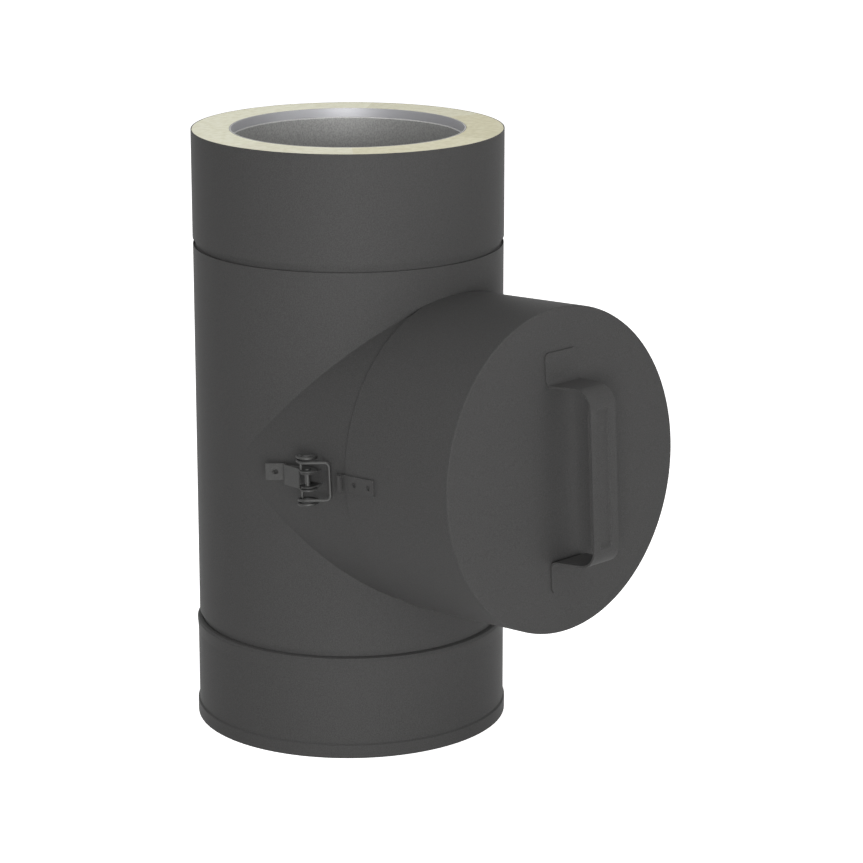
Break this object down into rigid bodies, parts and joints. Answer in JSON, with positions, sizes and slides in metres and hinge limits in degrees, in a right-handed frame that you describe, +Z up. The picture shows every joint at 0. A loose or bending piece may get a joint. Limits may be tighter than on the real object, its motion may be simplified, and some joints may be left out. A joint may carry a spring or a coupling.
{
  "type": "chimney inspection section",
  "caption": "Insulated twin wall flue section with a clip-on lid over its inspection branch, with a strap handle and sprung wire latches",
  "frame": {"origin": "on the flue axis, in the plane of the lower collar's bottom edge", "axes": "+Z up the flue, the branch and its lid towards -Y, the latches on -X and +X"},
  "size_m": [0.2334, 0.3267, 0.39],
  "materials": {
    "black_coat": "fine textured dark grey powder coat",
    "stainless": "mill finish stainless, polished lip",
    "mineral_wool": "dense cream mineral wool",
    "fibre": "flat pressed fibre",
    "zinc": "satin grey coated steel",
    "spring_wire": "bright drawn spring wire"
  },
  "bodies": {
    "base": {"casing_shell": "black_coat", "top_collar": "black_coat", "bottom_collar": "black_coat", "branch_casing": "black_coat", "flue_liner": "stainless", "branch_liner": "stainless", "flue_insulation": "mineral_wool", "branch_insulation": "mineral_wool", "latch_bracket_left": "black_coat", "latch_bracket_right": "black_coat", "latch_pin_left": "zinc", "latch_pin_right": "zinc"},
    "lid": {"lid_sleeve": "black_coat", "lid_disc": "black_coat", "lid_plug": "stainless", "lid_gasket": "fibre", "lid_insulation": "mineral_wool", "catch_left": "black_coat", "catch_right": "black_coat", "handle": "black_coat"},
    "lever_left": {"latch_strap_left": "zinc"},
    "lever_right": {"latch_strap_right": "zinc"},
    "bail_left": {"bail_left": "spring_wire"},
    "bail_right": {"bail_right": "spring_wire"}
  },
  "joints": [
    {"name": "lid_slide", "type": "slide", "parent": "base", "child": "lid", "axis": [0, -0.9986, 0.0523], "range_m": [0, 0.06]},
    {"name": "lever_left_hinge", "type": "hinge", "parent": "base", "child": "lever_left", "pos_m": [-0.11, -0.0763, 0.1935], "axis": [0, 0.0523, 0.9986], "range_deg": [0, 105]},
    {"name": "lever_right_hinge", "type": "hinge", "parent": "base", "child": "lever_right", "pos_m": [0.11, -0.0763, 0.1935], "axis": [0, -0.0523, -0.9986], "range_deg": [0, 105]},
    {"name": "bail_left_hinge", "type": "hinge", "parent": "lever_left", "child": "bail_left", "pos_m": [-0.11226, -0.07349, 0.19335], "axis": [0, -0.0523, -0.9986], "range_deg": [0, 140]},
    {"name": "bail_right_hinge", "type": "hinge", "parent": "lever_right", "child": "bail_right", "pos_m": [0.11226, -0.07349, 0.19335], "axis": [0, 0.0523, 0.9986], "range_deg": [0, 140]}
  ],
  "couplings": [
    {"joint": "bail_left_hinge", "follows": "lever_left_hinge", "ratio": 1.3},
    {"joint": "bail_right_hinge", "follows": "lever_right_hinge", "ratio": 1.3}
  ]
}
